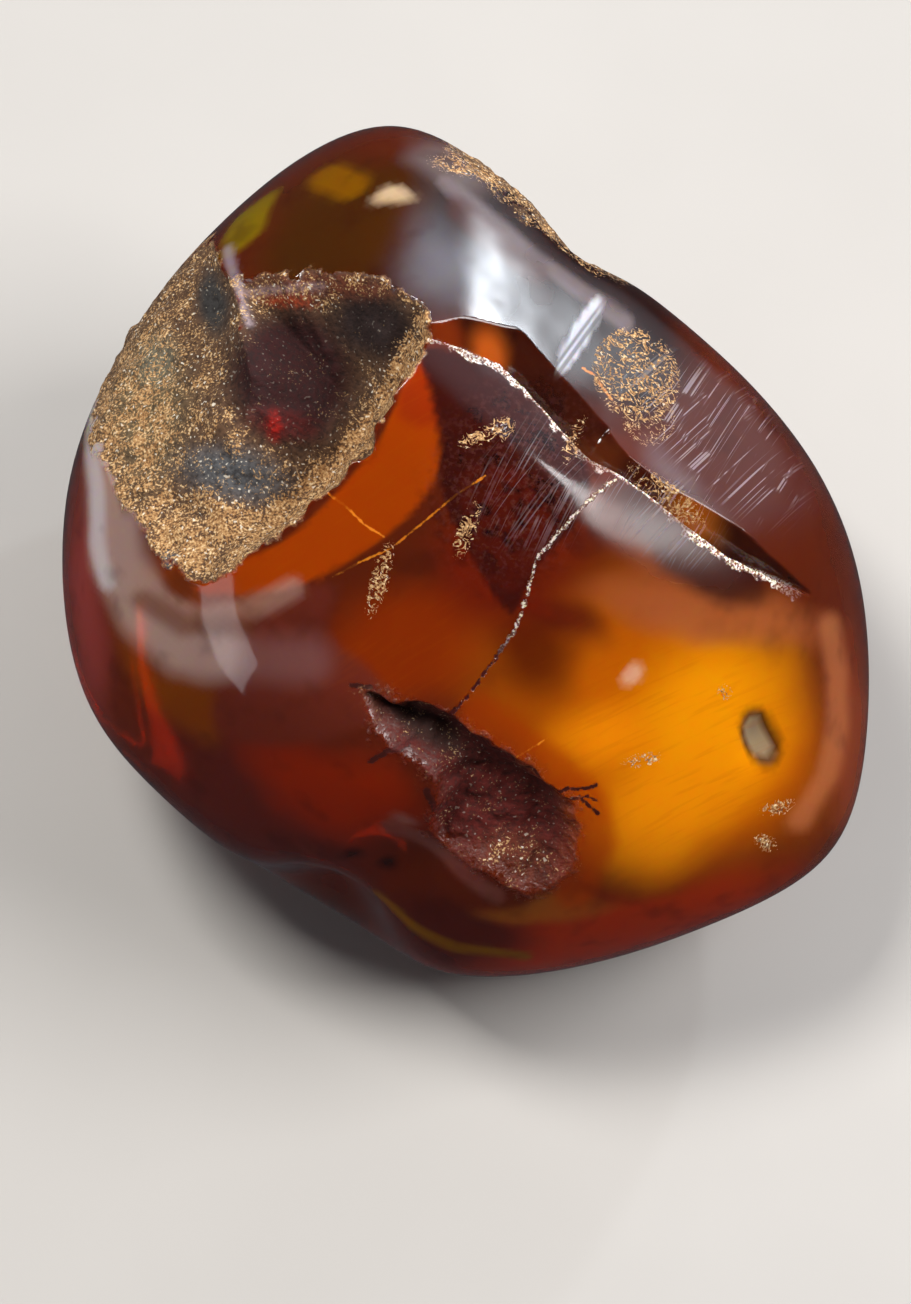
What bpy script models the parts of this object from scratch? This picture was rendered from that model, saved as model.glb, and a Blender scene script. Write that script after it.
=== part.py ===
"""Amber nugget: one solid, irregular stone with ground faces, a deep hollow, a crusted pocket and an open cleft.

The stone is described in its own frame, in millimetres: x to the right, y up and z toward the
viewer of its best side. Its surface is a radius in every direction from its middle. The radius
comes from ground faces blended together, less what the hollows, the cleft and the pits take away.
The finished stone is then turned so that it rests on its flat underside, at z = 0.
"""
import math

import bmesh
import bpy
import numpy as np

MM = 0.001

# Best side leans back: it is looked at from this height above the table.
VIEW_ELEVATION = 68.0

# A higher value gives sharper edges between the ground faces.
EDGE_SHARPNESS = 16.0

# Each face: direction around the outline (degrees from x), lean toward the viewer (degrees),
# and distance from the stone's middle.
FACES = {
    "rim_right": (0, 5, 34.9),
    "rim_right_low": (-38, 0, 43.2),
    "rim_low_right": (-68, 4, 37.9),
    "rim_bottom": (-95, -2, 37.4),
    "rim_low_left": (231, 0, 33.2),
    "rim_left_low": (207, -5, 36.2),
    "rim_left": (180, 5, 34.6),
    "rim_left_high": (151, 5, 33.8),
    "rim_high_left": (128, 5, 35.0),
    "rim_top": (92, 8, 37.4),
    "rim_high_right": (52, 0, 26.2),
    "rim_right_high": (29, 3, 29.8),
    "front_plain": (225, 78, 25.0),
    "front_band": (50, 48, 25.5),
    "front_high_left": (125, 45, 30.0),
    "front_low_right": (-42, 62, 27.0),
    "front_left": (188, 42, 29.5),
    "front_low_left": (238, 40, 29.0),
    "front_low": (-80, 38, 32.5),
    "front_right": (-5, 35, 31.5),
    "underside": (-90, -VIEW_ELEVATION, 25.6),
    "back_left": (190, -48, 29.6),
    "back_right": (10, -45, 30.2),
    "back_high": (80, -35, 30.8),
    "back_plain": (70, -75, 27.3),
    "back_low_right": (-35, -50, 31.3),
}

# The flat that the stone rests on lies this far below its middle, and its edge is rounded this much.
REST_DISTANCE = 24.9
REST_ROUNDING = 0.5

# Outlines of the hollows on the best side (x, y).
BOWL = [(-19.0, 21.0), (-15.5, 22.0), (-9.5, 21.8), (-4.2, 19.8), (-2.9, 16.4), (-5.4, 11.4), (-9.0, 6.0),
        (-13.6, 2.0), (-17.8, -0.8), (-21.3, 0.0), (-24.0, 5.0), (-22.0, 11.0), (-18.4, 16.0)]
BOWL_DEPTH = 9.5
BOWL_WALL = 8.5

LOBE = [(-21.0, 25.4), (-19.0, 21.0), (-17.6, 16.0), (-16.0, 9.0), (-14.6, 3.6), (-17.8, -1.2), (-21.4, -3.0),
        (-24.6, -0.8), (-28.4, 4.2), (-31.0, 9.5), (-30.8, 14.5), (-27.6, 19.8), (-24.2, 23.8)]
LOBE_DEPTH = 3.2
LOBE_WALL = 4.5

POCKET = [(-8.0, -11.6), (-4.8, -12.2), (-1.1, -13.3), (2.1, -15.4), (5.2, -17.5), (8.1, -19.9), (9.3, -23.2),
          (8.6, -26.3), (6.4, -28.1), (3.5, -27.6), (0.0, -25.8), (-3.0, -23.6), (-2.2, -20.5), (-3.2, -17.8),
          (-6.2, -15.2)]
POCKET_DEPTH = 3.0
POCKET_WALL = 3.5

# The cleft's steep lip (x, y), and its width there. The sloping wall lies on the upper right.
CLEFT = [(-3.4, 16.9, 0.8), (-0.7, 16.2, 2.2), (2.9, 14.8, 2.9), (5.4, 12.3, 2.6), (7.6, 9.7, 2.8),
         (10.0, 7.3, 2.6), (12.4, 6.0, 1.4), (14.8, 4.4, 1.2), (18.0, 1.9, 1.9), (21.2, -0.4, 2.2),
         (24.2, -1.8, 1.3), (28.0, -3.6, 0.2)]
CLEFT_STEEPNESS = 1.2
CLEFT_LIP = 0.5

# Rounded dents: middle (x, y, z), reach along x, y, z, and depth.
DENTS = [
    ((-12.0, -33.0, 2.0), (6.2, 6.0, 9.0), 5.2),
    ((-3.5, -26.5, 14.0), (4.5, 5.0, 8.0), 2.0),
    ((10.2, 26.6, 0.0), (4.2, 4.0, 9.0), 3.2),
    ((24.0, -15.5, 15.0), (1.2, 1.8, 3.0), 0.8),
    ((-27.0, -6.0, -15.0), (7.0, 6.0, 6.0), 2.4),
    ((19.0, 17.0, -16.0), (6.0, 7.0, 6.0), 2.0),
    ((2.0, 24.0, -19.0), (8.0, 5.0, 6.0), 1.8),
    ((31.0, -9.0, -13.0), (5.0, 8.0, 5.0), 1.6),
]

# Mesh fineness: the icosphere's subdivisions, then how near a hollow's edge it is split again.
SPHERE_SUBDIVISIONS = 5
FIRST_SPLIT_REACH = 1.7
SECOND_SPLIT_REACH = 0.7


def direction(around, lean):
    """Unit vector of a face, from its angles in degrees."""
    a = math.radians(around)
    b = math.radians(lean)
    return (math.cos(a) * math.cos(b), math.sin(a) * math.cos(b), math.sin(b))


FACE_NORMALS = np.array([direction(around, lean) for around, lean, _ in FACES.values()])
FACE_DISTANCES = np.array([distance for _, _, distance in FACES.values()])
DOWN = np.array(direction(-90, -VIEW_ELEVATION))


def smooth_loop(points, steps=6):
    """Closed Catmull-Rom curve through the points of an outline."""
    p1 = np.array(points, float)
    p0 = np.roll(p1, 1, axis=0)
    p2 = np.roll(p1, -1, axis=0)
    p3 = np.roll(p1, -2, axis=0)
    t = np.linspace(0, 1, steps, endpoint=False)[:, None, None]
    curve = 2 * p1 + (p2 - p0) * t + (2 * p0 - 5 * p1 + 4 * p2 - p3) * t ** 2 + (3 * p1 - p0 - 3 * p2 + p3) * t ** 3
    return (0.5 * curve).transpose(1, 0, 2).reshape(-1, 2)


def distance_inside(xy, loop):
    """Distance to a closed outline, positive inside it."""
    nearest = np.full(len(xy), 1e9)
    inside = np.zeros(len(xy), bool)
    for start, end in zip(loop, np.roll(loop, -1, axis=0)):
        side = end - start
        away = xy - start
        t = np.clip(away @ side / (side @ side), 0, 1)
        nearest = np.minimum(nearest, np.linalg.norm(away - t[:, None] * side, axis=1))
        if start[1] != end[1]:
            spans = (start[1] > xy[:, 1]) != (end[1] > xy[:, 1])
            crossing = start[0] + side[0] * (xy[:, 1] - start[1]) / side[1]
            inside ^= spans & (xy[:, 0] < crossing)
    return np.where(inside, nearest, -nearest)


def beside_path(xy, path):
    """Distance to an open path, positive on its left, and the path's own width there."""
    points = np.array(path, float)
    nearest = np.full(len(xy), 1e9)
    side_of = np.zeros(len(xy))
    width = np.zeros(len(xy))
    for start, end in zip(points[:-1], points[1:]):
        side = end[:2] - start[:2]
        away = xy - start[:2]
        t = np.clip(away @ side / (side @ side), 0, 1)
        distance = np.linalg.norm(away - t[:, None] * side, axis=1)
        closer = distance < nearest
        nearest = np.where(closer, distance, nearest)
        side_of = np.where(closer, np.sign(side[0] * away[:, 1] - side[1] * away[:, 0]), side_of)
        width = np.where(closer, start[2] + (end[2] - start[2]) * t, width)
    return nearest * side_of, width


BOWL_LOOP = smooth_loop(BOWL)
LOBE_LOOP = smooth_loop(LOBE)
POCKET_LOOP = smooth_loop(POCKET)


def whole_stone(directions):
    """Radius of the stone with its ground faces, before anything is taken away."""
    reach = np.clip(directions @ FACE_NORMALS.T / FACE_DISTANCES, 0, None)
    return (reach ** EDGE_SHARPNESS).sum(axis=1) ** (-1 / EDGE_SHARPNESS)


def hollow(distance, depth, wall):
    """Depth of a hollow at a distance inside its edge: steep at the edge, level past the wall."""
    t = np.clip(distance / wall, 0, 1)
    return depth * (1 - (1 - t) ** 2)


def deeper_of(a, b, blend=0.6):
    """The deeper of two hollows, with a rounded meeting line."""
    return 0.5 * (a + b + np.sqrt((a - b) ** 2 + blend ** 2) - blend)


def taken_away(points):
    """Depth that the hollows, the cleft and the dents take off at points of the whole stone."""
    xy = points[:, :2]
    front = points[:, 2] > 0
    bowl = hollow(distance_inside(xy, BOWL_LOOP), BOWL_DEPTH, BOWL_WALL)
    lobe = hollow(distance_inside(xy, LOBE_LOOP), LOBE_DEPTH, LOBE_WALL)
    lobe = lobe * np.clip((points[:, 2] - 3) / 8, 0, 1)
    depth = deeper_of(bowl, lobe)
    depth = depth + hollow(distance_inside(xy, POCKET_LOOP), POCKET_DEPTH, POCKET_WALL)
    beside, width = beside_path(xy, CLEFT)
    sloping = np.clip(1 - beside / np.maximum(width, 0.05), 0, 1)
    steep = np.clip(1 + beside / CLEFT_LIP, 0, 1)
    depth = depth + np.where(beside >= 0, sloping, steep) * width * CLEFT_STEEPNESS
    depth = np.where(front, depth, 0)
    for middle, reach, dent_depth in DENTS:
        offset = (points - np.array(middle)) / np.array(reach)
        depth = depth + dent_depth * np.exp(-(offset ** 2).sum(axis=1))
    return depth


def radius(directions):
    """Radius of the finished stone, cut off by the flat that it rests on."""
    whole = whole_stone(directions)
    worn = whole - taken_away(directions * whole[:, None])
    level = REST_DISTANCE / np.clip(directions @ DOWN, 1e-3, None)
    meeting = np.clip(REST_ROUNDING - np.abs(worn - level), 0, None)
    return np.minimum(worn, level) - meeting ** 2 / (4 * REST_ROUNDING)


def edge_distance(directions):
    """How far points on the best side lie from the nearest edge of a hollow or of the cleft."""
    points = directions * whole_stone(directions)[:, None]
    xy = points[:, :2]
    near = np.full(len(xy), 1e9)
    for loop in (BOWL_LOOP, LOBE_LOOP, POCKET_LOOP):
        near = np.minimum(near, np.abs(distance_inside(xy, loop)))
    beside, width = beside_path(xy, CLEFT)
    near = np.minimum(near, np.where(beside > 0, np.maximum(beside - width, 0), -beside))
    return np.where(points[:, 2] > 0, near, 1e9)


def split_near_edges(bm, reach):
    """Splits the mesh edges that lie within reach of a hollow's edge, and puts the new points on the sphere."""
    bm.edges.ensure_lookup_table()
    middles = np.array([(e.verts[0].co + e.verts[1].co) / 2 for e in bm.edges])
    middles /= np.linalg.norm(middles, axis=1)[:, None]
    close = edge_distance(middles) < reach
    chosen = [edge for edge, wanted in zip(bm.edges, close) if wanted]
    bmesh.ops.subdivide_edges(bm, edges=chosen, cuts=1, use_grid_fill=True)
    bmesh.ops.triangulate(bm, faces=[face for face in bm.faces if len(face.verts) > 3])
    for vert in bm.verts:
        vert.co.normalize()


def make_material():
    """Clear orange amber."""
    material = bpy.data.materials.new("amber")
    material.use_nodes = True
    shader = material.node_tree.nodes["Principled BSDF"]
    shader.inputs["Base Color"].default_value = (0.42, 0.12, 0.015, 1.0)
    shader.inputs["Roughness"].default_value = 0.12
    shader.inputs["Metallic"].default_value = 0.0
    shader.inputs["IOR"].default_value = 1.54
    shader.inputs["Transmission Weight"].default_value = 0.6
    material.diffuse_color = (0.42, 0.12, 0.015, 1.0)
    return material


def make_nugget():
    """The stone as one closed mesh, resting on z = 0 with the middle of its box over the origin."""
    bm = bmesh.new()
    bmesh.ops.create_icosphere(bm, subdivisions=SPHERE_SUBDIVISIONS, radius=1.0)
    split_near_edges(bm, FIRST_SPLIT_REACH)
    split_near_edges(bm, SECOND_SPLIT_REACH)
    directions = np.array([vert.co for vert in bm.verts])
    directions /= np.linalg.norm(directions, axis=1)[:, None]
    points = directions * radius(directions)[:, None]

    # Turn about x until the rest flat faces straight down.
    tilt = math.radians(90 - VIEW_ELEVATION)
    y = points[:, 1] * math.cos(tilt) - points[:, 2] * math.sin(tilt)
    z = points[:, 1] * math.sin(tilt) + points[:, 2] * math.cos(tilt)
    on_flat = points @ DOWN > REST_DISTANCE - 1e-4
    z = np.where(on_flat, 0.0, z + REST_DISTANCE)
    placed = np.stack([points[:, 0], y, z], axis=1)
    placed[:, :2] -= (placed[:, :2].min(axis=0) + placed[:, :2].max(axis=0)) / 2
    for vert, position in zip(bm.verts, placed * MM):
        vert.co = position

    bm.normal_update()
    mesh = bpy.data.meshes.new("nugget")
    bm.to_mesh(mesh)
    bm.free()
    mesh.shade_smooth()
    mesh.set_sharp_from_angle(angle=math.radians(50))
    nugget = bpy.data.objects.new("nugget", mesh)
    nugget.data.materials.append(make_material())
    bpy.context.scene.collection.objects.link(nugget)
    return nugget


for old in list(bpy.data.objects):
    bpy.data.objects.remove(old, do_unlink=True)

make_nugget()
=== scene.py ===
"""Amber nugget on a pale floor: clear orange to dark red resin with ground faces and crusted hollows.

The stone is described as in its solid model, in its own frame in millimetres: x to the right,
y up and z toward the viewer of its best side. Scene coordinates are metres, with +Z up.
"""
import math

import bmesh
import bpy
import numpy as np
from mathutils import Matrix, Vector


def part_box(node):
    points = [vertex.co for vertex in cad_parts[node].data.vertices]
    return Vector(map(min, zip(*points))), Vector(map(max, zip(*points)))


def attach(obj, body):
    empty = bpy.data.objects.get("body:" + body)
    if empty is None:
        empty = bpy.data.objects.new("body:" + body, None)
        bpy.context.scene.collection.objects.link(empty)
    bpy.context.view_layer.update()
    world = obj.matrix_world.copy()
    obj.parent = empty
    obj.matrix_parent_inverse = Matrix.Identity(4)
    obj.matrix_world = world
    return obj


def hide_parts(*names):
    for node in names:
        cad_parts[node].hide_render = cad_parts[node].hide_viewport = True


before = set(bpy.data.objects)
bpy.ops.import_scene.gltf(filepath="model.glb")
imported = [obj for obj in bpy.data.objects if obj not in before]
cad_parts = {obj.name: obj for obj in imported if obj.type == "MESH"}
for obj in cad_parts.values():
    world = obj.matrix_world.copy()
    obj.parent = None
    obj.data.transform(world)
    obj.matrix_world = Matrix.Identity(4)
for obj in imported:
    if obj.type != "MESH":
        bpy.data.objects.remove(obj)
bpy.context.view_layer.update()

MM = 0.001

# A distance in millimetres that is past every edge.
FAR = 9.0

# Shape
# The stone's faces, hollows, cleft and dents, as in the solid model, but with a sharper cleft lip.
VIEW_ELEVATION = 68.0
EDGE_SHARPNESS = 16.0
FACES = {
    "rim_right": (0, 5, 34.9),
    "rim_right_low": (-38, 0, 43.2),
    "rim_low_right": (-68, 4, 37.9),
    "rim_bottom": (-95, -2, 37.4),
    "rim_low_left": (231, 0, 33.2),
    "rim_left_low": (207, -5, 36.2),
    "rim_left": (180, 5, 34.6),
    "rim_left_high": (151, 5, 33.8),
    "rim_high_left": (128, 5, 35.0),
    "rim_top": (92, 8, 37.4),
    "rim_high_right": (52, 0, 26.2),
    "rim_right_high": (29, 3, 29.8),
    "front_plain": (225, 78, 25.0),
    "front_band": (50, 48, 25.5),
    "front_high_left": (125, 45, 30.0),
    "front_low_right": (-42, 62, 27.0),
    "front_left": (188, 42, 29.5),
    "front_low_left": (238, 40, 29.0),
    "front_low": (-80, 38, 32.5),
    "front_right": (-5, 35, 31.5),
    "underside": (-90, -VIEW_ELEVATION, 25.6),
    "back_left": (190, -48, 29.6),
    "back_right": (10, -45, 30.2),
    "back_high": (80, -35, 30.8),
    "back_plain": (70, -75, 27.3),
    "back_low_right": (-35, -50, 31.3),
}
REST_DISTANCE = 24.9
REST_ROUNDING = 0.5

BOWL = [(-19, 21), (-15.5, 22), (-9.5, 21.8), (-4.2, 19.8), (-2.9, 16.4), (-5.4, 11.4), (-9, 6),
        (-13.6, 2), (-17.8, -0.8), (-21.3, 0), (-24, 5), (-22, 11), (-18.4, 16)]
BOWL_DEPTH = 9.5
BOWL_WALL = 8.5
LOBE = [(-21, 25.4), (-19, 21), (-17.6, 16), (-16, 9), (-14.6, 3.6), (-17.8, -1.2), (-21.4, -3),
        (-24.6, -0.8), (-28.4, 4.2), (-31, 9.5), (-30.8, 14.5), (-27.6, 19.8), (-24.2, 23.8)]
LOBE_DEPTH = 3.2
LOBE_WALL = 4.5
POCKET = [(-8, -11.6), (-4.8, -12.2), (-1.1, -13.3), (2.1, -15.4), (5.2, -17.5), (8.1, -19.9), (9.3, -23.2),
          (8.6, -26.3), (6.4, -28.1), (3.5, -27.6), (0, -25.8), (-3, -23.6), (-2.2, -20.5), (-3.2, -17.8),
          (-6.2, -15.2)]
POCKET_DEPTH = 3.0
POCKET_WALL = 3.5
CLEFT = [(-3.4, 16.9, 0.8), (-0.7, 16.2, 2.2), (2.9, 14.8, 2.9), (5.4, 12.3, 2.6), (7.6, 9.7, 2.8),
         (10, 7.3, 2.6), (12.4, 6, 1.4), (14.8, 4.4, 1.2), (18, 1.9, 1.9), (21.2, -0.4, 2.2),
         (24.2, -1.8, 1.3), (28, -3.6, 0.2)]
CLEFT_STEEPNESS = 1.2
CLEFT_LIP = 0.3
DENTS = [
    ((-12, -33, 2), (6.2, 6, 9), 5.2),
    ((-3.5, -26.5, 14), (4.5, 5, 8), 2),
    ((10.2, 26.6, 0), (4.2, 4, 9), 3.2),
    ((24, -15.5, 15), (1.2, 1.8, 3), 0.8),
    ((-27, -6, -15), (7, 6, 6), 2.4),
    ((19, 17, -16), (6, 7, 6), 2),
    ((2, 24, -19), (8, 5, 6), 1.8),
    ((31, -9, -13), (5, 8, 5), 1.6),
]

# A hairline crack runs from the cleft down to the pocket (x, y).
CRACK = [(12.8, 6.1), (9.9, 3.9), (7.5, 1.3), (5.6, -1), (4.9, -4), (4, -6.5), (2.1, -9.3), (0.1, -12.1),
         (-1.1, -13.3)]

# Small crusted spots on the polished surface: middle (x, y), reach along x and y, turn in degrees,
# and how closely the crust covers them, from -0.3 for a few threads to 0.3 for a solid spot.
CRUST_SPOTS = [
    ((13.8, 14), (3.2, 3.6), 20, -0.17),
    ((14.2, 12.6), (1.6, 1.8), 30, -0.06),
    ((14.8, 10.2), (1.8, 1.6), 30, -0.3),
    ((2.8, 9.3), (0.75, 0.6), 30, 0.6),
    ((1.2, 8.7), (0.8, 0.3), 20, -0.05),
    ((-6.7, -2.6), (0.4, 1.6), -15, 0.05),
    ((0.2, 1.4), (0.35, 1.2), -20, 0.1),
    ((14.4, -17), (0.6, 0.2), 10, 0),
    ((25.8, -21.2), (0.7, 0.3), 10, 0.1),
    ((24.9, -24.2), (0.5, 0.3), -30, 0.1),
    ((21, -11.6), (0.3, 0.3), 0, 0.1),
    ((8.8, 8.7), (0.4, 1.1), -25, 0),
    ((0, 31), (1.8, 0.5), -10, 0),
    ((16.6, 4.2), (2, 0.4), -36, -0.1),
]

# Thin bright seams inside the resin: path (x, y), and half its width.
SEAMS = [
    ([(-10.4, -2.4), (-8.2, -1.2), (-5.9, -0.2), (-3.4, 1.8), (-0.7, 4.1), (1.6, 5.6)], 0.02),
    ([(-10.8, 4.2), (-9.2, 3), (-8, 1.8), (-6.4, 0.8)], 0.04),
    ([(9.4, 14.4), (10.4, 13.8), (11.2, 12.6), (12.2, 11.2)], 0.05),
    ([(3.2, -17.4), (6.8, -15.1)], 0),
]

# Thin dark seams: the crust's roots beside the long hollow, and its spur.
DARK_SEAMS = [
    ([(7.4, -19.6), (8.5, -19.3), (9.6, -19.3), (10.7, -19)], 0.09),
    ([(8.2, -20.2), (9.4, -20), (10.2, -20.8), (10.9, -21.4)], 0.06),
    ([(9.2, -20.1), (10, -19.9), (10.8, -20.4)], 0.05),
    ([(2, -16), (2.6, -17), (3.8, -16.8), (4.2, -17.8)], 0.06),
    ([(2.3, -16.9), (1.6, -16.2), (1.4, -15.6)], 0.06),
    ([(4.8, -18.3), (5.6, -17.8), (6.2, -18.6)], 0.06),
    ([(-7.4, -17.2), (-6, -16.3), (-4, -16)], 0.16),
    ([(-3, -19.6), (-2.2, -21.4), (-1.2, -22.8)], 0.22),
    ([(-7.4, -11.2), (-9, -11)], 0.10),
]

# Crusted bare skin along the upper right rim, which was never ground (x, y, half width).
RIM_CRUST = [(-1.2, 33.2, 0.4), (2.4, 31.4, 1.6), (5.2, 29, 1.6), (7.8, 26.6, 1.2), (10.4, 24.2, 0.8),
             (12.8, 22, 0.3)]
RIM_CRUST_FROM = -6.0

# How broken edges run unevenly: size of the lumps and how far they shift the edge, coarse and fine.
RAGGED_COARSE = (2.2, 0.45)
RAGGED_FINE = (0.8, 0.2)
CLEFT_RAGGEDNESS = 0.15

# Where the crust of the hollows ends toward the back: its depth there, and how steeply it comes in.
CRUST_END = -3.0
CRUST_END_SLOPE = 0.5

# Relief in mm: the crust's lumps (size, height), how far its ground lies lower, and the polish's waves.
CRUST_LUMPS = [(2.1, 0.32), (1, 0.18), (0.5, 0.1)]
CRUST_DEPTH = 0.15
POLISH_WAVES = (8, 0.05)


def direction(around, lean):
    """Unit vector of a face, from its angles in degrees."""
    a = math.radians(around)
    b = math.radians(lean)
    return (math.cos(a) * math.cos(b), math.sin(a) * math.cos(b), math.sin(b))


FACE_NORMALS = np.array([direction(around, lean) for around, lean, _ in FACES.values()])
FACE_DISTANCES = np.array([distance for _, _, distance in FACES.values()])
DOWN = np.array(direction(-90, -VIEW_ELEVATION))


def smooth_loop(points, steps=6):
    """Closed Catmull-Rom curve through the points of an outline."""
    p1 = np.array(points, float)
    p0 = np.roll(p1, 1, axis=0)
    p2 = np.roll(p1, -1, axis=0)
    p3 = np.roll(p1, -2, axis=0)
    t = np.linspace(0, 1, steps, endpoint=False)[:, None, None]
    curve = 2 * p1 + (p2 - p0) * t
    curve = curve + (2 * p0 - 5 * p1 + 4 * p2 - p3) * t ** 2 + (3 * p1 - p0 - 3 * p2 + p3) * t ** 3
    return (0.5 * curve).transpose(1, 0, 2).reshape(-1, 2)


def distance_inside(xy, loop):
    """Distance to a closed outline, positive inside it."""
    nearest = np.full(len(xy), 1e9)
    inside = np.zeros(len(xy), bool)
    for start, end in zip(loop, np.roll(loop, -1, axis=0)):
        side = end - start
        away = xy - start
        t = np.clip(away @ side / (side @ side), 0, 1)
        nearest = np.minimum(nearest, np.linalg.norm(away - t[:, None] * side, axis=1))
        if start[1] != end[1]:
            spans = (start[1] > xy[:, 1]) != (end[1] > xy[:, 1])
            crossing = start[0] + side[0] * (xy[:, 1] - start[1]) / side[1]
            inside ^= spans & (xy[:, 0] < crossing)
    return np.where(inside, nearest, -nearest)


def beside_path(xy, path):
    """Distance to an open path, positive on its left, and the path's own width there."""
    points = np.array(path, float)
    nearest = np.full(len(xy), 1e9)
    side_of = np.zeros(len(xy))
    width = np.zeros(len(xy))
    for start, end in zip(points[:-1], points[1:]):
        side = end[:2] - start[:2]
        away = xy - start[:2]
        t = np.clip(away @ side / (side @ side), 0, 1)
        distance = np.linalg.norm(away - t[:, None] * side, axis=1)
        closer = distance < nearest
        nearest = np.where(closer, distance, nearest)
        side_of = np.where(closer, np.sign(side[0] * away[:, 1] - side[1] * away[:, 0]), side_of)
        if points.shape[1] > 2:
            width = np.where(closer, start[2] + (end[2] - start[2]) * t, width)
    return nearest * side_of, width


BOWL_LOOP = smooth_loop(BOWL)
LOBE_LOOP = smooth_loop(LOBE)
POCKET_LOOP = smooth_loop(POCKET)


def smoothstep(low, high, value):
    """0 below low, 1 above high, and a smooth rise between them."""
    t = np.clip((value - low) / (high - low), 0, 1)
    return t * t * (3 - 2 * t)


def waves(points, size, seed):
    """Smooth noise from -1 to 1, with lumps of about this size."""
    cell = points / size + seed * 17.31
    corner = np.floor(cell)
    t = cell - corner
    t = t ** 3 * (6 * t ** 2 - 15 * t + 10)
    total = np.zeros(len(points))
    for step in np.ndindex(2, 2, 2):
        share = np.prod(np.where(np.array(step) == 1, t, 1 - t), axis=1)
        mixed = np.sin((corner + step) @ np.array([127.1, 311.7, 74.7])) * 43758.5453
        total += share * (mixed - np.floor(mixed))
    return total * 2 - 1


def whole_stone(directions):
    """Radius of the stone with its ground faces, before anything is taken away."""
    reach = np.clip(directions @ FACE_NORMALS.T / FACE_DISTANCES, 0, None)
    return (reach ** EDGE_SHARPNESS).sum(axis=1) ** (-1 / EDGE_SHARPNESS)


def hollow(distance, depth, wall):
    """Depth of a hollow at a distance inside its edge: steep at the edge, level past the wall."""
    t = np.clip(distance / wall, 0, 1)
    return depth * (1 - (1 - t) ** 2)


def deeper_of(a, b, blend=0.6):
    """The deeper of two hollows, with a rounded meeting line."""
    return 0.5 * (a + b + np.sqrt((a - b) ** 2 + blend ** 2) - blend)


def ragged(points, share=1.0):
    """The points' x and y, shifted a little here and there, so that broken edges run unevenly."""
    size, reach = RAGGED_COARSE
    shift = np.stack([waves(points, size, 1), waves(points, size, 2)], axis=1) * reach
    size, reach = RAGGED_FINE
    shift += np.stack([waves(points, size, 3), waves(points, size, 4)], axis=1) * reach
    return points[:, :2] + shift * share


def on_best_side(points, inside):
    """A depth inside something on the best side, ended unevenly where it would run over to the back."""
    end = CRUST_END_SLOPE * (points[:, 2] - CRUST_END)
    end = end + 1.6 * waves(points, 6.0, 21) + 0.7 * waves(points, 2.2, 22)
    return np.clip(np.minimum(inside, end), -FAR, None)


def crust_depth(points):
    """How far inside the crust of the hollows a point lies, negative outside it."""
    xy = ragged(points)
    inside = np.maximum(distance_inside(xy, BOWL_LOOP), distance_inside(xy, LOBE_LOOP))
    inside = np.maximum(inside, distance_inside(xy, POCKET_LOOP))
    return on_best_side(points, inside)


def taken_away(points, fine):
    """Depth that the hollows, the cleft and the dents take off at points of the whole stone."""
    xy = ragged(points) if fine else points[:, :2]
    front = points[:, 2] > 0
    bowl = hollow(distance_inside(xy, BOWL_LOOP), BOWL_DEPTH, BOWL_WALL)
    lobe = hollow(distance_inside(xy, LOBE_LOOP), LOBE_DEPTH, LOBE_WALL)
    lobe = lobe * np.clip((points[:, 2] - 3) / 8, 0, 1)
    depth = deeper_of(bowl, lobe)
    depth = depth + hollow(distance_inside(xy, POCKET_LOOP), POCKET_DEPTH, POCKET_WALL)
    beside, width = beside_path(ragged(points, CLEFT_RAGGEDNESS) if fine else xy, CLEFT)
    sloping = np.clip(1 - beside / np.maximum(width, 0.05), 0, 1)
    steep = np.clip(1 + beside / CLEFT_LIP, 0, 1)
    depth = depth + np.where(beside >= 0, sloping, steep) * width * CLEFT_STEEPNESS
    depth = np.where(front, depth, 0)
    for middle, reach, dent_depth in DENTS:
        offset = (points - np.array(middle)) / np.array(reach)
        depth = depth + dent_depth * np.exp(-(offset ** 2).sum(axis=1))
    if fine:
        crusted = smoothstep(0.0, 1.0, crust_depth(points))
        crusted = np.maximum(crusted, smoothstep(0.0, 1.0, rim_crust_depth(points)))
        lumps = sum(height * waves(points, size, 5 + i) for i, (size, height) in enumerate(CRUST_LUMPS))
        depth = depth + crusted * (lumps + CRUST_DEPTH)
        size, height = POLISH_WAVES
        depth = depth + height * (1 - crusted) * (waves(points, size, 8) + 1)
    return depth


def rim_crust_depth(points):
    """How far inside the crusted skin of the upper right rim a point lies, negative outside it."""
    beside, half_width = beside_path(points[:, :2], RIM_CRUST)
    inside = half_width - np.abs(beside) + 0.5 * waves(points, 2.0, 9)
    end = CRUST_END_SLOPE * (points[:, 2] - RIM_CRUST_FROM) + 1.6 * waves(points, 5.0, 23)
    return np.minimum(inside, end)


def radius(directions, fine=True):
    """Radius of the finished stone, cut off by the flat that it rests on."""
    whole = whole_stone(directions)
    worn = whole - taken_away(directions * whole[:, None], fine)
    level = REST_DISTANCE / np.clip(directions @ DOWN, 1e-3, None)
    meeting = np.clip(REST_ROUNDING - np.abs(worn - level), 0, None)
    return np.minimum(worn, level) - meeting ** 2 / (4 * REST_ROUNDING)


# Place
# The stone lies turned about x, so that its rest flat faces down.
TILT = math.radians(90 - VIEW_ELEVATION)
TURN = np.array(Matrix.Rotation(TILT, 3, "X"))


def stone_to_scene(points, shift):
    """Scene coordinates in metres of points in the stone's frame in millimetres."""
    return (points @ TURN.T + np.array([0, 0, REST_DISTANCE])) * MM + shift


def add_object(name, data):
    """A new object in the scene."""
    item = bpy.data.objects.new(name, data)
    bpy.context.scene.collection.objects.link(item)
    return item


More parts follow.
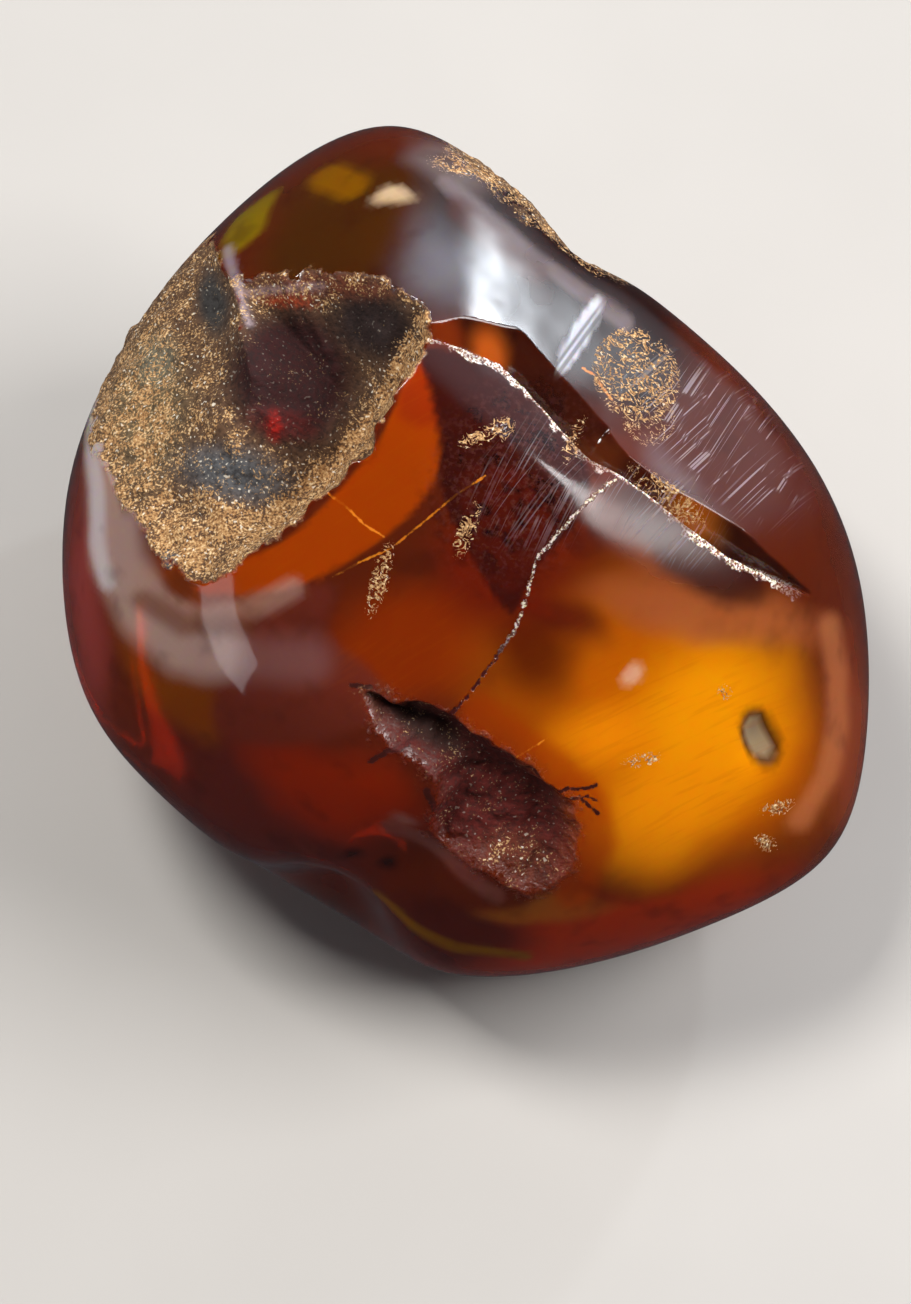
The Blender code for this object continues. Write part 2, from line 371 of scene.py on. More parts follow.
def unit_sphere(subdivisions):
    """Mesh of a unit sphere of even triangles."""
    bm = bmesh.new()
    bmesh.ops.create_icosphere(bm, subdivisions=subdivisions, radius=1.0)
    return bm


def vertex_directions(bm):
    """Unit vectors of a sphere mesh's vertices."""
    directions = np.array([vert.co for vert in bm.verts])
    return directions / np.linalg.norm(directions, axis=1)[:, None]


def find_shift():
    """What moves the stone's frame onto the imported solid, from the middles of their boxes."""
    bm = unit_sphere(5)
    directions = vertex_directions(bm)
    bm.free()
    rough = stone_to_scene(directions * radius(directions, fine=False)[:, None], np.zeros(3))
    low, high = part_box("nugget")
    shift = (np.array(low) + np.array(high)) / 2 - (rough.min(axis=0) + rough.max(axis=0)) / 2
    shift[2] = 0
    return shift


SHIFT = find_shift()

# Paint
# Colours inside the resin, laid over each other in this order. Ovals: middle (x, y), reach along
# x and y, turn in degrees, softness of the edge (1 fades from the middle), colour as 0 to 255, strength.
BASE_COLOUR = (104, 36, 12)
# Some of these colours are painted light rather than the resin's own colour, as marked below.
PATCHES = {
    "lower_left": ((-17, -22), (18, 14), -40, 0.8, (104, 38, 30), 1),
    "left_rim": ((-31.5, -4), (4.5, 16), 0, 0.9, (160, 68, 62), 0.9),
    "low_mid": ((-10, -20), (11, 5), -30, 0.7, (170, 44, 2), 0.8),
    "left_shelf": ((-20, -4.5), (10, 4), -25, 0.7, (150, 66, 18), 0.9),
    "mid_orange": ((-4.5, -8.5), (11, 7), 15, 0.7, (146, 48, 1), 0.9),
    # glow_wide, glow_left, glow_core, glow_core_left and glow_tail are painted glow: light that shines
    # through the stone, painted in as bright orange.
    "glow_wide": ((16, -14.5), (20, 16), -25, 0.6, (198, 100, 0), 1),
    "glow_left": ((6.5, -14), (8, 5), -20, 0.7, (172, 82, 0), 0.8),
    "low_red": ((5.4, -8.4), (4.6, 4.8), 0, 0.8, (96, 24, 1), 0.85),
    # More painted glow of light shining through the stone.
    "glow_core": ((20, -13.5), (12.5, 9.5), 55, 0.8, (246, 156, 0), 1),
    "glow_core_left": ((11, -14.5), (6, 4.5), 10, 0.9, (250, 150, 2), 0.8),
    "glow_tail": ((16.5, -21.5), (10, 6.5), 25, 0.8, (244, 150, 2), 0.9),
    "low_rim": ((12, -32), (22, 4.6), 14, 0.6, (186, 56, 16), 0.9),
    "bottom": ((-1, -33), (9, 4.5), 0, 0.6, (84, 30, 26), 0.9),
    "low_gold": ((6.3, -29.8), (7.5, 1.5), 6, 0.7, (186, 108, 34), 0.6),
    "dark_spot": ((-9.8, -25.2), (1.5, 0.9), -20, 0.8, (34, 18, 20), 0.7),
    "dark_spot_low": ((-6.8, -27.8), (1.7, 0.9), -25, 0.8, (34, 18, 20), 0.8),
    # Painted sheen on the pocket's polished lower lip.
    "pale_painted_sheen": ((-5, -23.2), (1.9, 0.9), -20, 0.8, (168, 118, 112), 0.6),
    "pink_blob": ((13.2, -9.4), (1.3, 0.9), 20, 0.6, (236, 196, 170), 0.6),
    "lilac_blob": ((26.6, 4.9), (1.8, 1.8), 0, 1, (140, 116, 130), 0.6),
    "chip_rim": ((24.1, -15.3), (1.5, 2.5), 12, 0.35, (60, 28, 8), 0.9),
    "chip": ((24, -15.3), (0.9, 1.8), 12, 0.4, (168, 146, 116), 0.9),
    "right_rim": ((32.5, -16), (3, 14), 0, 0.7, (150, 66, 32), 0.9),
    "under_ridge": ((20, -4.8), (14, 3.4), -8, 0.7, (190, 104, 56), 0.8),
    "shadow_streak": ((7.5, -5.6), (5.6, 2.4), -20, 0.8, (96, 26, 10), 0.9),
    "middle_red": ((3.5, -1), (8.5, 9), -30, 0.6, (122, 30, 6), 0.9),
    "under_cleft": ((18, 0.8), (10, 3.6), -32, 0.4, (66, 22, 16), 0.9),
    "high_dark": ((-4.6, 21.6), (9, 4.6), -24, 0.7, (66, 22, 10), 1),
    "pocket_ground": ((2.4, -20), (11.5, 6.4), -40, 0.6, (96, 34, 18), 0.8),
    "band": ((7, 21.5), (19, 8.5), -40, 0.4, (38, 13, 9), 1),
    # Painted highlight: a pale haze round the key lamp's highlight, and a pale sheen below the cleft, both on
    # the scuffed polish.
    "band_painted_halo": ((-1.6, 22.8), (7.5, 5.5), -35, 1, (150, 150, 162), 0.55),
    "band_painted_shine": ((17.8, 5.4), (6, 3), -38, 1, (170, 168, 178), 0.6),
    "lace_ground": ((14, 13), (4, 4.6), 20, 0.7, (44, 20, 12), 0.8),
    "band_right": ((23, 8), (10, 9.5), -45, 0.6, (96, 44, 34), 1),
    "olive_facet": ((-10.5, 25.5), (11.5, 7), 38, 0.6, (80, 40, 6), 1),
    "olive_edge": ((-18.2, 26.4), (1.4, 4.4), -42, 0.5, (150, 124, 2), 0.9),
    "gold_corner": ((-10.2, 29.6), (3.4, 1.5), 12, 0.5, (150, 96, 0), 0.9),
    # Painted reflection: a grey haze over the top corner.
    "top_painted_haze": ((-0.6, 31.4), (5.6, 3.6), -20, 0.7, (136, 120, 120), 0.7),
    # Painted highlight: a small cream highlight.
    "painted_cream_highlight": ((-6, 27.6), (2.5, 1), -8, 0.7, (236, 206, 166), 0.9),
}

# Faces of old breaks inside the resin: outline (x, y), softness of the edge in mm, colour, strength.
BREAK_FACES = {
    "olive_wedge": ([(-28.6, -4), (-25, -9), (-19.8, -11.4), (-20.2, -16), (-24, -14),
                     (-27.6, -10)], 2.6, (136, 66, 4), 0.8),
    "maroon_face": ([(-9.8, -3.2), (-13.8, -3.8), (-17, -6.2), (-19.6, -11.2), (-19.9, -14.8),
                     (-15.4, -16), (-9.8, -14.9), (-5.9, -13), (-7.6, -9.8), (-10.8, -7.2)],
                    1.2, (116, 46, 32), 0.9),
    "lip_face": ([(-3.5, 14.6), (-1.9, 8), (-3.1, 4.1), (-6.2, 0.7), (-9.8, -1.8), (-14.6, -3.6),
                  (-21.7, -3.6), (-15, 0.2), (-8.2, 6), (-5.6, 10.4)], 0.5, (168, 64, 0), 1),
    "lip_face_end": ([(-3.8, 14.8), (-2.2, 12.6), (-2.2, 9.4), (-5.2, 10)], 1.2, (150, 40, 6), 0.8),
    "red_face": ([(-3.1, 15.8), (2.1, 14.6), (6, 11.8), (9.6, 6.5), (8.4, 2), (6, -1.6), (4, -5.6),
                  (1.3, -1.8), (-1.9, 4.2), (-1.8, 8.5), (-2.6, 12)], 0.5, (64, 16, 10), 0.95),
    "red_streaks": ([(-0.4, 5.6), (4.2, 6), (7.2, 2.6), (4.6, -3.6), (1.6, -1.6)], 1.2, (92, 22, 8), 0.8),
}

# Soft strokes: path (x, y), half width, softness of the edge, colour, strength.
STROKES = {
    # Painted reflections: milky arcs of a bright surround on the left shoulder, with a darker gap between
    # them.
    "outer_painted_reflection": ([(-29.2, 8.8), (-29, 3.9), (-28.2, -1.1), (-25.9, -5.6), (-22.4, -8), (-20, -8.6)],
                   1, 2.4, (216, 186, 174), 0.66),
    "painted_reflection_fade": ([(-20.4, -8.6), (-16.4, -9.2), (-12.4, -9)], 0.3, 2.8, (168, 128, 126), 0.34),
    "painted_reflection_edge": ([(-31.2, 12.1), (-30.9, 6.4), (-30.2, 0.6), (-28.9, -3.2)], 0.2, 1, (232, 222, 224), 0.8),
    "inner_painted_reflection": ([(-26, -2.7), (-24.2, -4.8), (-20.5, -5.9), (-16.8, -5.2), (-13.5, -3.5)], 0.4, 1,
                   (190, 150, 134), 0.55),
    "painted_reflection_gap": ([(-26, -4.4), (-22.6, -6.4), (-17.6, -6.6)], 0.2, 1.3, (120, 66, 40), 0.7),
    # Painted highlight along the crease between the lobe and the bowl.
    "painted_crease_highlight": ([(-19.8, 24.3), (-18.7, 20.8), (-18, 19)], 0.1, 0.6, (186, 174, 184), 0.6),
    # Painted reflection: a peach crescent of the bright right side on the right rim.
    "right_painted_reflection": ([(30.2, -6), (31.2, -10), (31.2, -14.6), (30.2, -19), (28, -22.6)], 0.3, 1.4,
                       (226, 140, 86), 0.45),
    "bottom_line": ([(-7.6, -30.6), (-4.6, -32.6), (-0.6, -33.8), (5.4, -34.2)], 0.15, 0.5,
                    (140, 92, 2), 0.9),
    "grey_strip": ([(-1.6, 29.4), (2, 26.6), (5.6, 24), (9, 21.6), (13, 18.4)], 0.35, 0.8,
                   (150, 134, 138), 0.6),
    "red_strip": ([(-0.6, 27.4), (2.6, 24.8), (5.6, 22.6)], 0.5, 1, (84, 34, 22), 0.7),
    "pocket_halo": ([(1.2, -13.4), (4.4, -15.6), (7.6, -17.8), (10, -20.6), (10.6, -24), (9, -28)],
                    0.9, 1.6, (176, 64, 0), 0.7),
    # Painted sheen: the pale highlight along the pocket's polished lower lip.
    "pocket_edge_painted_sheen": ([(-6.2, -23.4), (-3.8, -25.1), (-0.9, -26.8), (2.6, -28.4)], 0.35, 0.8,
                    (150, 92, 84), 0.6),
}

# Crust colours, as ovals laid over each other in the same way, where they lie on the worn surface.
CRUST_COLOUR = (92, 66, 46)
CRUST_PATCHES = {
    "lobe_olive": ((-26, 11), (5.5, 9), 0, 0.8, (104, 90, 64), 0.8),
    "grey_left": ((-25.4, 14.8), (2.6, 3.4), -20, 0.8, (104, 106, 92), 0.7),
    "grey_top": ((-20.8, 20.2), (1.7, 4.2), 12, 0.7, (52, 52, 52), 0.95),
    "grey_floor": ((-18.6, 5.6), (7, 3), -12, 0.8, (84, 88, 92), 0.9),
    "bowl": ((-14.2, 13.4), (6.8, 7.2), 10, 0.5, (44, 8, 8), 1),
    "bowl_high": ((-7.4, 17.6), (5, 3.8), -25, 0.6, (34, 20, 20), 0.95),
    "bowl_red": ((-15, 9.6), (4.4, 1.8), -8, 0.8, (84, 20, 16), 0.8),
    "rim_high": ((-11.2, 21), (8.5, 1.7), -3, 0.7, (100, 46, 26), 0.85),
    "orange_strip": ((-14.4, 19.6), (3.6, 0.7), -5, 0.7, (160, 54, 14), 0.8),
    # Painted light: red light shining through the thin floor of the bowl.
    "red_spot_painted_backlight": ((-15.6, 9.4), (0.9, 1.7), 5, 0.8, (160, 18, 6), 0.95),
    "grey_dot": ((-23.8, -1.4), (1, 1.3), 0, 0.4, (70, 78, 84), 0.9),
    "pocket": ((1.5, -19.5), (13, 10), -40, 0.3, (84, 14, 8), 1),
    "pocket_top": ((-3.4, -14.4), (6.5, 2.2), -34, 0.7, (34, 20, 14), 0.9),
    "pocket_low": ((4.2, -25.2), (4.6, 3), -24, 0.6, (96, 40, 20), 0.8),
}
CRUST_STROKES = {
    # Painted light: a highlight along the crease, and the lit lilac wall beside it.
    "crease_painted_highlight": ([(-19.8, 24.6), (-18.9, 21.4), (-18.2, 19), (-17.8, 17.6)], 0.05, 0.5, (170, 154, 162), 0.6),
    "crease_side_painted_light": ([(-18.2, 20.2), (-15, 20.6), (-11.6, 21)], 0.1, 0.35, (168, 140, 140), 0.6),
}

# How golden the crust is, as ovals in the same way: the last number is the gold share, from 0 to 1.
GOLD_SHARE = 0.52
GOLD_PATCHES = {
    "lobe_edge": ((-27.6, 9), (4.6, 11), 0, 0.6, 0.74),
    "lobe_low": ((-21, 1.6), (7, 4.6), -20, 0.5, 0.86),
    "lobe_yellow": ((-25.6, 8.6), (3, 3.4), -20, 0.7, 0.84),
    "grey_top": ((-20.8, 20.2), (2.2, 4.6), 12, 0.6, 0.12),
    "grey_floor": ((-18.8, 5.8), (6.8, 2.9), -12, 0.6, 0.28),
    "bowl": ((-14, 13.4), (7, 7.4), 10, 0.4, 0.02),
    "bowl_high": ((-7.4, 17.6), (5.2, 4), -25, 0.5, 0.03),
    "rim_high": ((-11.2, 21.2), (8.5, 1.3), -3, 0.8, 0.4),
    "pocket": ((1.5, -19.5), (13, 10), -40, 0.1, 0.1),
    "pocket_low": ((4, -25), (4.4, 2.8), -24, 0.9, 0.42),
}

# A golden band runs along the hollows' lower right edge (x, y). It is full to the first distance in mm
# and gone at the second.
GOLD_BAND = [(-3, 17.4), (-5, 13.4), (-8.4, 8.2), (-12.2, 4.4), (-17.4, 1), (-22.6, -0.8)]
GOLD_BAND_REACH = (0.9, 2.2)

# Colours inside the cleft, as ovals in the same way.
CLEFT_COLOUR = (64, 22, 9)
CLEFT_PATCHES = {
    "start": ((-1.6, 17.4), (2.4, 1.6), -20, 0.8, (150, 56, 14), 0.8),
    "orange": ((2, 16.6), (2.6, 1.6), -30, 0.8, (214, 104, 30), 0.95),
    "dark": ((6.6, 12.2), (3.6, 1.8), -50, 0.8, (44, 14, 8), 0.9),
    "smooth_floor": ((10.8, 8), (2.8, 1.5), -40, 0.8, (104, 46, 15), 0.9),
    "golden": ((19, 2.4), (4.6, 1.7), -38, 0.8, (176, 98, 26), 0.95),
}

# Plain, honey and dark resin of the back.
BACK_COLOURS = ((126, 50, 16), (176, 88, 14), (84, 30, 18))

# Where the resin has its painted glow of light shining through it, is scratched and is scuffed: middle (x,
# y), reach, turn, softness, strength.
GLOW_PATCHES = [
    ((17, -16), (19, 14), -25, 0.8, 1),
    ((-4.5, -8.5), (11, 7), 15, 0.7, 0.6),
]
SCRATCHED_PATCHES = [
    ((20.5, 9), (10.5, 5.5), -42, 0.5, 1),
    ((15.5, 2.6), (7.5, 3.8), -30, 0.5, 1),
    ((5.5, 5), (6.5, 6.5), -20, 0.6, 0.5),
]
SCUFFED_PATCHES = [
    ((7, 21.5), (17, 8), -40, 0.5, 1),
    ((16.5, 1), (10, 5.5), -28, 0.5, 1.4),
]

# Where the grooves are, and the stains with their painted reflection veil: middle (x, y), reach, turn,
# softness.
STRIATED_PATCH = ((9.2, 17.2), (4.2, 0.95), 62, 0.25)
STAIN_AND_SHEEN_PATCH = ((4, 5.5), (8.5, 11), -20, 0.6)


def linear(colour):
    """Linear light values of a colour given as 0 to 255."""
    c = np.array(colour, float) / 255
    return np.where(c < 0.04045, c / 12.92, ((c + 0.055) / 1.055) ** 2.4)


def oval_distance(points, middle, reach, turn):
    """Distance from the middle of an oval, 1 at its edge."""
    a = math.radians(turn)
    offset = points[:, :2] - np.array(middle)
    along = offset[:, 0] * math.cos(a) + offset[:, 1] * math.sin(a)
    across = offset[:, 1] * math.cos(a) - offset[:, 0] * math.sin(a)
    return np.hypot(along / reach[0], across / reach[1])


def patch_share(points, middle, reach, turn, softness):
    """1 in the middle of an oval patch and 0 outside it."""
    return 1 - smoothstep(1 - softness, 1, oval_distance(points, middle, reach, turn))


def largest_share(points, patches):
    """The largest share at each point of some patches, each with its strength last."""
    shares = [strength * patch_share(points, *patch) for *patch, strength in patches]
    return np.max(shares, axis=0)


def laid_over(colours, share, colour):
    """Linear colours with a share of a colour, given as 0 to 255, laid over them."""
    share = share[:, None]
    return colours * (1 - share) + linear(colour) * share


def drifted(points, reach):
    """The points moved a little, so that painted edges wander."""
    still = np.zeros(len(points))
    drift = np.stack([waves(points, 7.0, 11), waves(points, 7.0, 12), still], axis=1)
    drift += 0.3 * np.stack([waves(points, 2.5, 13), waves(points, 2.5, 14), still], axis=1)
    return points + reach * drift


def lay_patches(points, base, patches):
    """Linear colours of a base with oval patches laid over it."""
    colours = np.tile(linear(base), (len(points), 1))
    for middle, reach, turn, softness, colour, strength in patches.values():
        share = patch_share(points, middle, reach, turn, softness) * strength
        colours = laid_over(colours, share, colour)
    return colours


def lay_strokes(points, colours, strokes):
    """Colours with soft strokes laid over them."""
    for path, half_width, softness, colour, strength in strokes.values():
        outside = np.abs(beside_path(points[:, :2], path)[0]) - half_width
        colours = laid_over(colours, (1 - smoothstep(0, softness, outside)) * strength, colour)
    return colours


def crust_colours(points):
    """Linear colour of the crust at each point of the worn surface."""
    moved = drifted(points, 0.5)
    return lay_strokes(moved, lay_patches(moved, CRUST_COLOUR, CRUST_PATCHES), CRUST_STROKES)


def gold_shares(points):
    """How golden the crust is at each point of the worn surface."""
    moved = drifted(points, 0.5)
    gold = np.full(len(points), GOLD_SHARE)
    for middle, reach, turn, softness, wanted in GOLD_PATCHES.values():
        share = patch_share(moved, middle, reach, turn, softness)
        gold = gold * (1 - share) + wanted * share
    outside = np.abs(beside_path(moved[:, :2], GOLD_BAND)[0])
    return np.maximum(gold, 0.9 * (1 - smoothstep(*GOLD_BAND_REACH, outside)))


def resin_colours(points):
    """Linear colour inside the resin at each point, with its painted glow, highlights and reflections."""
    colours = lay_patches(drifted(points, 1.1), BASE_COLOUR, PATCHES)
    moved = drifted(points, 0.4)
    for outline, softness, colour, strength in BREAK_FACES.values():
        inside = distance_inside(moved[:, :2], smooth_loop(outline, 3))
        colours = laid_over(colours, smoothstep(-softness / 2, softness / 2, inside) * strength, colour)
    colours = lay_strokes(moved, colours, STROKES)
    beside, width = beside_path(ragged(points, CLEFT_RAGGEDNESS), CLEFT)
    inside = smoothstep(-0.1, 0.3, beside) * smoothstep(0.15, -0.15, beside - width)
    inner = lay_patches(moved, CLEFT_COLOUR, CLEFT_PATCHES)
    colours = colours * (1 - inside[:, None]) + inner * inside[:, None]
    plain, honey, dark = (linear(colour) for colour in BACK_COLOURS)
    light = smoothstep(-0.1, 0.7, waves(points, 14.0, 15))[:, None]
    deep = smoothstep(0.1, 0.8, waves(points, 11.0, 16))[:, None]
    back = (plain * (1 - light) + honey * light) * (1 - deep) + dark * deep
    front = smoothstep(-8.0, 1.0, points[:, 2])[:, None]
    return colours * front + back * (1 - front)


def seam_distance(points, seams):
    """How far a point of the best side lies from the edge of the nearest of some seams."""
    near = np.full(len(points), FAR)
    for path, half_width in seams:
        near = np.minimum(near, np.abs(beside_path(points[:, :2], path)[0]) - half_width)
    return np.where(points[:, 2] > 0, near, FAR)


def crack_distance(points):
    """How far a point of the best side lies from the hairline crack."""
    near = np.abs(beside_path(points[:, :2], CRACK)[0])
    return np.where(points[:, 2] > 0, near, FAR)


LIP_FACE_LOOP = smooth_loop(BREAK_FACES["lip_face"][0], 3)


def spot_depth(points):
    """How far inside the nearest small crusted spot a point lies, negative outside."""
    inside = np.full(len(points), -FAR)
    for middle, reach, turn, cover in CRUST_SPOTS:
        away = oval_distance(points, middle, reach, turn)
        inside = np.maximum(inside, np.minimum((1 - away) * min(reach), cover))
    return np.where(points[:, 2] > 0, inside, -FAR)


def surface_values(points, worn):
    """Named values for the material, at each point of the whole stone and of its worn surface."""
    xy = ragged(points)
    front = points[:, 2] > 0
    bowl = distance_inside(xy, BOWL_LOOP)
    lobe = distance_inside(xy, LOBE_LOOP)
    hollow_edge = on_best_side(points, np.maximum(bowl, lobe))
    pocket = np.where(front, distance_inside(xy, POCKET_LOOP), -FAR)
    beside, width = beside_path(ragged(points, CLEFT_RAGGEDNESS), CLEFT)
    rim = rim_crust_depth(points)
    gold = np.where(rim > -1, 0.55, gold_shares(worn))
    gold = np.maximum(gold, 0.85 * smoothstep(-0.6, -0.3, spot_depth(points)))
    glow = 0.8 * smoothstep(-0.3, 0.3, distance_inside(xy, LIP_FACE_LOOP))
    glow = np.maximum(glow, largest_share(points, GLOW_PATCHES))
    scratches = largest_share(points, SCRATCHED_PATCHES)
    return {
        "hollow": hollow_edge,
        "pocket": pocket,
        "spots": np.maximum(spot_depth(points), np.where(rim > -2, rim, -FAR)),
        "cleft": beside,
        "cleft_width": width * smoothstep(0.0, 4.0, points[:, 2]),
        "crack": crack_distance(points),
        "seam": seam_distance(points, SEAMS),
        "dark_seam": seam_distance(points, DARK_SEAMS),
        "striated": patch_share(points, *STRIATED_PATCH) * front,
        "crack_pale": smoothstep(-9.0, -5.0, points[:, 1]),
        "glow": glow,
        "gold": gold,
        "scuffed": largest_share(points, SCUFFED_PATCHES) * front,
        "scratches": scratches * smoothstep(4.0, 9.0, points[:, 2]),
        "stains_and_sheen": patch_share(points, *STAIN_AND_SHEEN_PATCH) * front,
    }


# Stone
# Fineness: the sphere's subdivisions, then each split reaches this far (mm) round what it serves.
SPHERE_SUBDIVISIONS = 6
FRONT_SPLIT_FROM = -6.0
CRUST_REACH = 0.8
EDGE_REACH = 0.5
LINE_REACH = 0.35


def crust_distance(points):
    """How far a point lies outside the crusts, the cleft and the spots, 0 or less inside them."""
    xy = points[:, :2]
    near = -np.maximum(distance_inside(xy, BOWL_LOOP), distance_inside(xy, LOBE_LOOP))
    near = np.minimum(near, -distance_inside(xy, POCKET_LOOP))
    beside, width = beside_path(xy, CLEFT)
    near = np.minimum(near, np.where(beside > 0, beside - width, -beside))
    near = np.where(points[:, 2] > -8, near, FAR)
    near = np.minimum(near, -rim_crust_depth(points))
    return np.minimum(near, -spot_depth(points))


def line_distance(points):
    """How far a point lies from the nearest thin line."""
    near = np.minimum(crack_distance(points), seam_distance(points, SEAMS))
    return np.minimum(near, seam_distance(points, DARK_SEAMS))


def fine_wanted(points):
    """The edges of the crusts and the cleft, and the thin lines."""
    return (np.abs(crust_distance(points)) < EDGE_REACH) | (line_distance(points) < LINE_REACH)


def split(bm, wanted):
    """Splits the edges whose middles are wanted, and puts the new points on the sphere."""
    ends = np.array([(*edge.verts[0].co, *edge.verts[1].co) for edge in bm.edges])
    middles = ends[:, :3] + ends[:, 3:]
    middles /= np.linalg.norm(middles, axis=1)[:, None]
    points = middles * whole_stone(middles)[:, None]
    chosen = [edge for edge, use in zip(bm.edges, wanted(points)) if use]
    bmesh.ops.subdivide_edges(bm, edges=chosen, cuts=1, use_grid_fill=True)
    bmesh.ops.triangulate(bm, faces=[face for face in bm.faces if len(face.verts) > 3])
    for vert in bm.verts:
        vert.co.normalize()


def make_stone():
    """The stone's surface as one closed mesh, with the named values that its material reads."""
    bm = unit_sphere(SPHERE_SUBDIVISIONS)
    split(bm, lambda points: points[:, 2] > FRONT_SPLIT_FROM)
    split(bm, lambda points: (crust_distance(points) < CRUST_REACH) | (line_distance(points) < CRUST_REACH))
    split(bm, fine_wanted)
    directions = vertex_directions(bm)
    points = directions * radius(directions)[:, None]
    whole = directions * whole_stone(directions)[:, None]
    for vert, place in zip(bm.verts, stone_to_scene(points, SHIFT)):
        vert.co = place
    mesh = bpy.data.meshes.new("amber_stone")
    bm.to_mesh(mesh)
    bm.free()
    mesh.shade_smooth()
    for name, values in surface_values(whole, points).items():
        attribute = mesh.attributes.new(name, "FLOAT", "POINT")
        attribute.data.foreach_set("value", values.astype(np.float32))
    for name, values in (("resin", resin_colours(whole)), ("crust", crust_colours(points))):
        colours = np.ones((len(whole), 4), np.float32)
        colours[:, :3] = values
        attribute = mesh.attributes.new(name, "FLOAT_COLOR", "POINT")
        attribute.data.foreach_set("color", colours.ravel())
    return add_object("amber_stone", mesh)


# Materials
IOR = 1.54
GLOSS = 0.3

# How much of the light goes straight through, in plain resin and where it glows.
CLEAR_SHARE = 0.4
GLOW_SHARE = 0.2
ABSORPTION_DENSITY = 120.0
ABSORPTION_COLOUR = (0.985, 0.80, 0.10, 1.0)

# The cloudy rest scatters light under the surface: its share, each colour's part of the reach, and the
# reach in metres.
CLOUDY_SHARE = 0.8
CLOUDY_RADIUS = (1.0, 0.4, 0.08)
CLOUDY_REACH = 0.0025

# Colours that the material lays over the painted ones, as 0 to 255.
TINTS = {
    "crust_shadow": (20, 11, 10),
    # Pale grains of the crust, partly painted glints.
    "crust_speck_and_glint": (236, 228, 210),
    "cloud": (60, 16, 6),
    "streak": (172, 78, 0),
    "stain": (40, 12, 12),
    # A milky painted reflection over the stained face.
    "painted_reflection_veil": (128, 76, 70),
    "crack_gap": (96, 60, 44),
    "crack_bead": (216, 206, 192),
    "crack_low": (60, 8, 8),
    "scratch": (206, 204, 214),
    "striation": (206, 208, 220),
    "dark_seam": (58, 14, 8),
    "seam": (244, 150, 40),
}
GILT_STOPS = [(0.32, (98, 66, 40)), (0.46, (150, 108, 66)), (0.58, (192, 152, 102)), (0.7, (228, 206, 166))]
LIP_STOPS = [(0.36, (88, 50, 36)), (0.46, (150, 118, 96)), (0.56, (236, 232, 226))]

# How far the noise moves the edges of the crusts, the small spots, the lip, the crack and the seams, in mm.
CRUST_WANDER = 2.4
POCKET_BRISTLES = 2.4
SPOT_THREADS = 0.8
SPOT_SPECKS = 0.6
LIP_WANDER = 2.6
CRACK_WANDER = 0.7
SEAM_WANDER = 0.3
DARK_SEAM_WANDER = 0.5

# Roughness of the polish, and what each thing adds to it.
POLISH = 0.06
CLOUD_ROUGHNESS = 0.05
SCRATCH_ROUGHNESS = 0.05
SCUFF_ROUGHNESS = 0.17
BROKEN_ROUGHNESS = 0.35
CRUST_ROUGHNESS = 0.45

# Relief in mm: the polish's waves, the crust's grains and the crack, and how strongly they are shaded.
WAVE_HEIGHT = 0.05
GRAIN_HEIGHT = 0.18
CRACK_DEPTH = 0.12
RELIEF = 0.8


def solid(colour):
    """A colour for a socket, from 0 to 255 values."""
    return (*linear(colour), 1.0)


